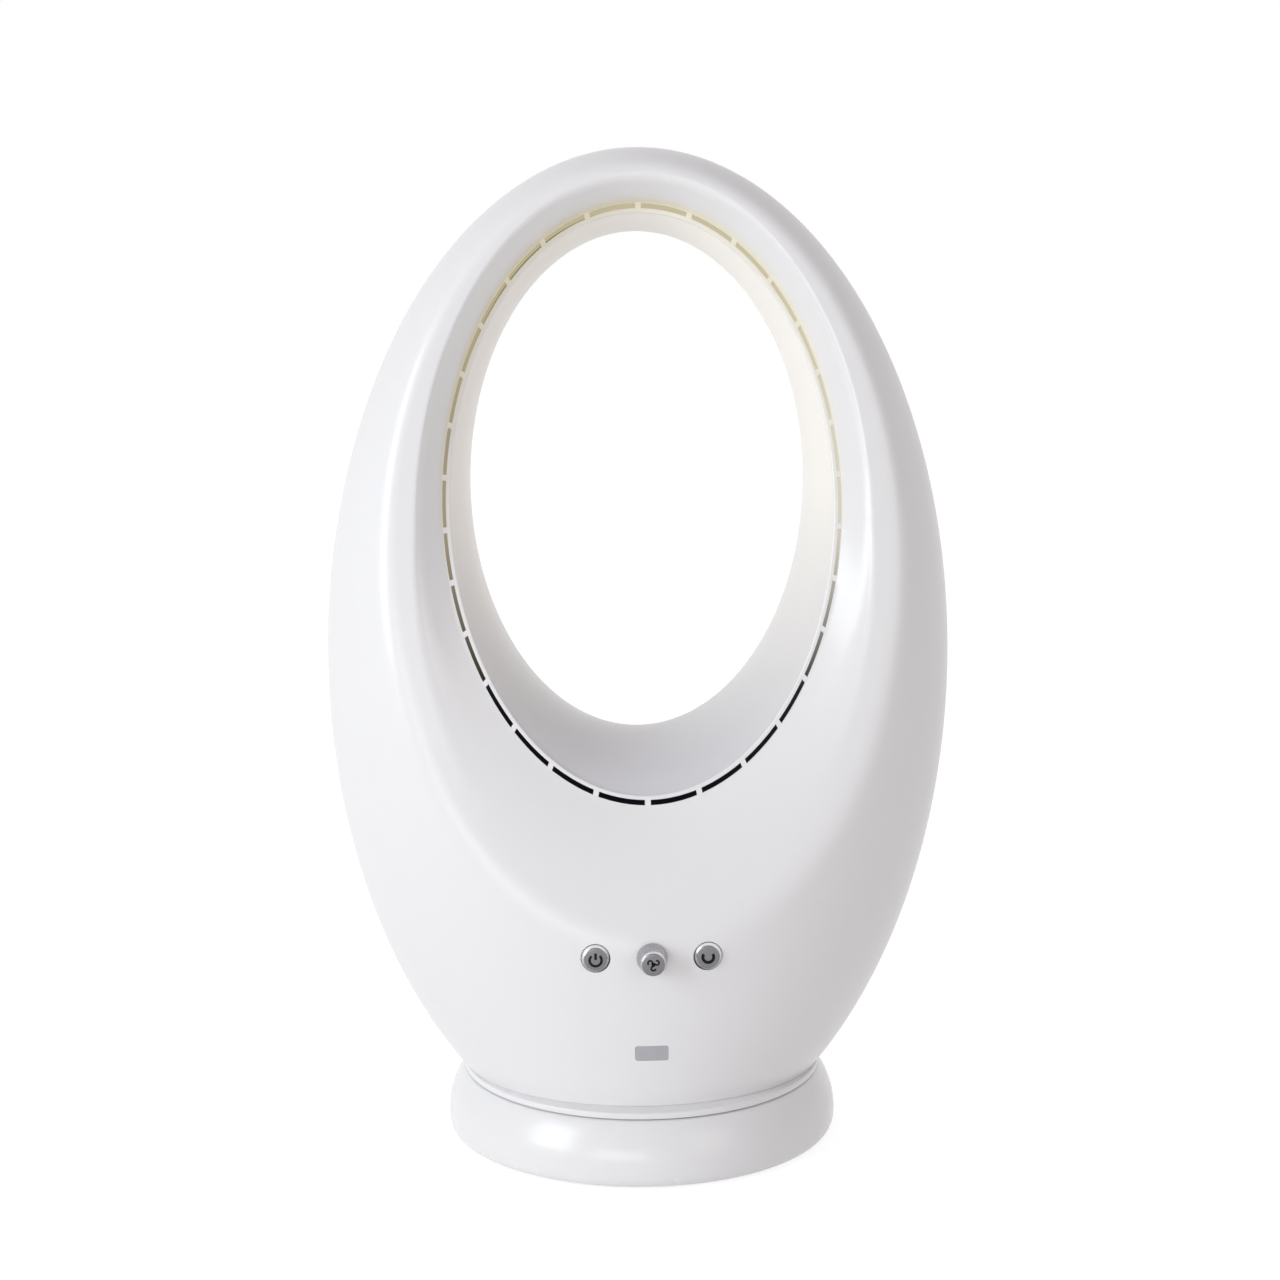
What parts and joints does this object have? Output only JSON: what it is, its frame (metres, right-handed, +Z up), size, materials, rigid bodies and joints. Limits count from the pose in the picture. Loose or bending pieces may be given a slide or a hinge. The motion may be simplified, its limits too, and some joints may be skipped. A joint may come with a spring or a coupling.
{
  "type": "bladeless fan",
  "caption": "Bladeless desk fan: an egg-shaped body with an oval through opening ringed by air slots, oscillating on a round foot, with a hidden impeller.",
  "frame": {"origin": "centre of the round foot on the table, on the oscillation axis", "axes": "+Z up along the oscillation axis, the front with the controls faces -Y, +X is to the right as seen from the front"},
  "size_m": [0.34, 0.2208, 0.538],
  "materials": {
    "shell_white": "gloss moulded white",
    "liner_white": "gloss moulded warm white",
    "button_silver": "satin silver",
    "window_grey": "smoked infrared window",
    "inner_plastic": "matte black moulding",
    "impeller_plastic": "matte grey moulding",
    "circuit_board": "solder mask",
    "component_black": "matte black",
    "steel": "machined steel",
    "iron": "raw iron",
    "stator_steel": "laminated steel with windings",
    "gear_plastic": "natural acetal",
    "rubber_black": "matte rubber",
    "silicone_grey": "silicone rubber",
    "motor_silver": "cast"
  },
  "bodies": {
    "foot": {"foot_cover": "shell_white", "base_plate": "inner_plastic", "rubber_feet": "rubber_black", "base_screws": "steel", "ballast_weight": "iron", "glide_pads": "gear_plastic", "cord_gland": "rubber_black", "oscillation_motor": "motor_silver", "motor_screws": "steel"},
    "head": {"front_shell": "shell_white", "rear_shell": "shell_white", "duct_liner": "liner_white", "intake_grille": "shell_white", "ir_window": "window_grey", "air_baffle": "inner_plastic", "impeller_shroud": "inner_plastic", "air_guide": "inner_plastic", "motor_cap": "inner_plastic", "motor_can": "motor_silver", "motor_bearings": "steel", "motor_stator": "stator_steel", "motor_isolators": "rubber_black", "shroud_screws": "steel", "control_board": "circuit_board", "board_screws": "steel", "push_switches": "component_black", "stop_pads": "silicone_grey", "potentiometer": "component_black", "ir_receiver": "component_black", "shell_screws": "steel", "turntable": "shell_white", "ring_gear": "gear_plastic", "gear_screws": "steel", "main_board": "circuit_board", "main_board_screws": "steel", "turntable_screws": "steel", "spindle_clip": "steel"},
    "pinion": {"drive_pinion": "gear_plastic"},
    "impeller": {"impeller": "impeller_plastic", "motor_rotor": "steel"},
    "power_button": {"power_button": "button_silver"},
    "oscillation_button": {"oscillation_button": "button_silver"},
    "knob": {"speed_knob": "button_silver", "potentiometer_shaft": "steel"}
  },
  "joints": [
    {"name": "oscillation", "type": "hinge", "parent": "foot", "child": "head", "pos_m": [0, 0, 0.033], "axis": [0, 0, 1], "range_deg": [-40, 40]},
    {"name": "pinion_spin", "type": "hinge", "parent": "foot", "child": "pinion", "pos_m": [0, 0.0375, 0.033], "axis": [0, 0, 1], "range_deg": [-245, 245]},
    {"name": "impeller_spin", "type": "hinge", "parent": "head", "child": "impeller", "pos_m": [0, 0, 0.1], "axis": [0, 0, 1], "continuous": true},
    {"name": "power_press", "type": "slide", "parent": "head", "child": "power_button", "axis": [0, 1, 0], "range_m": [0, 0.0015], "stiffness_N_per_m": 600},
    {"name": "oscillation_press", "type": "slide", "parent": "head", "child": "oscillation_button", "axis": [0, 1, 0], "range_m": [0, 0.0015], "stiffness_N_per_m": 600},
    {"name": "knob_turn", "type": "hinge", "parent": "head", "child": "knob", "pos_m": [0, -0.1, 0.122], "axis": [0, -1, 0], "range_deg": [-150, 150]}
  ],
  "couplings": [
    {"joint": "pinion_spin", "follows": "oscillation", "ratio": 6}
  ]
}
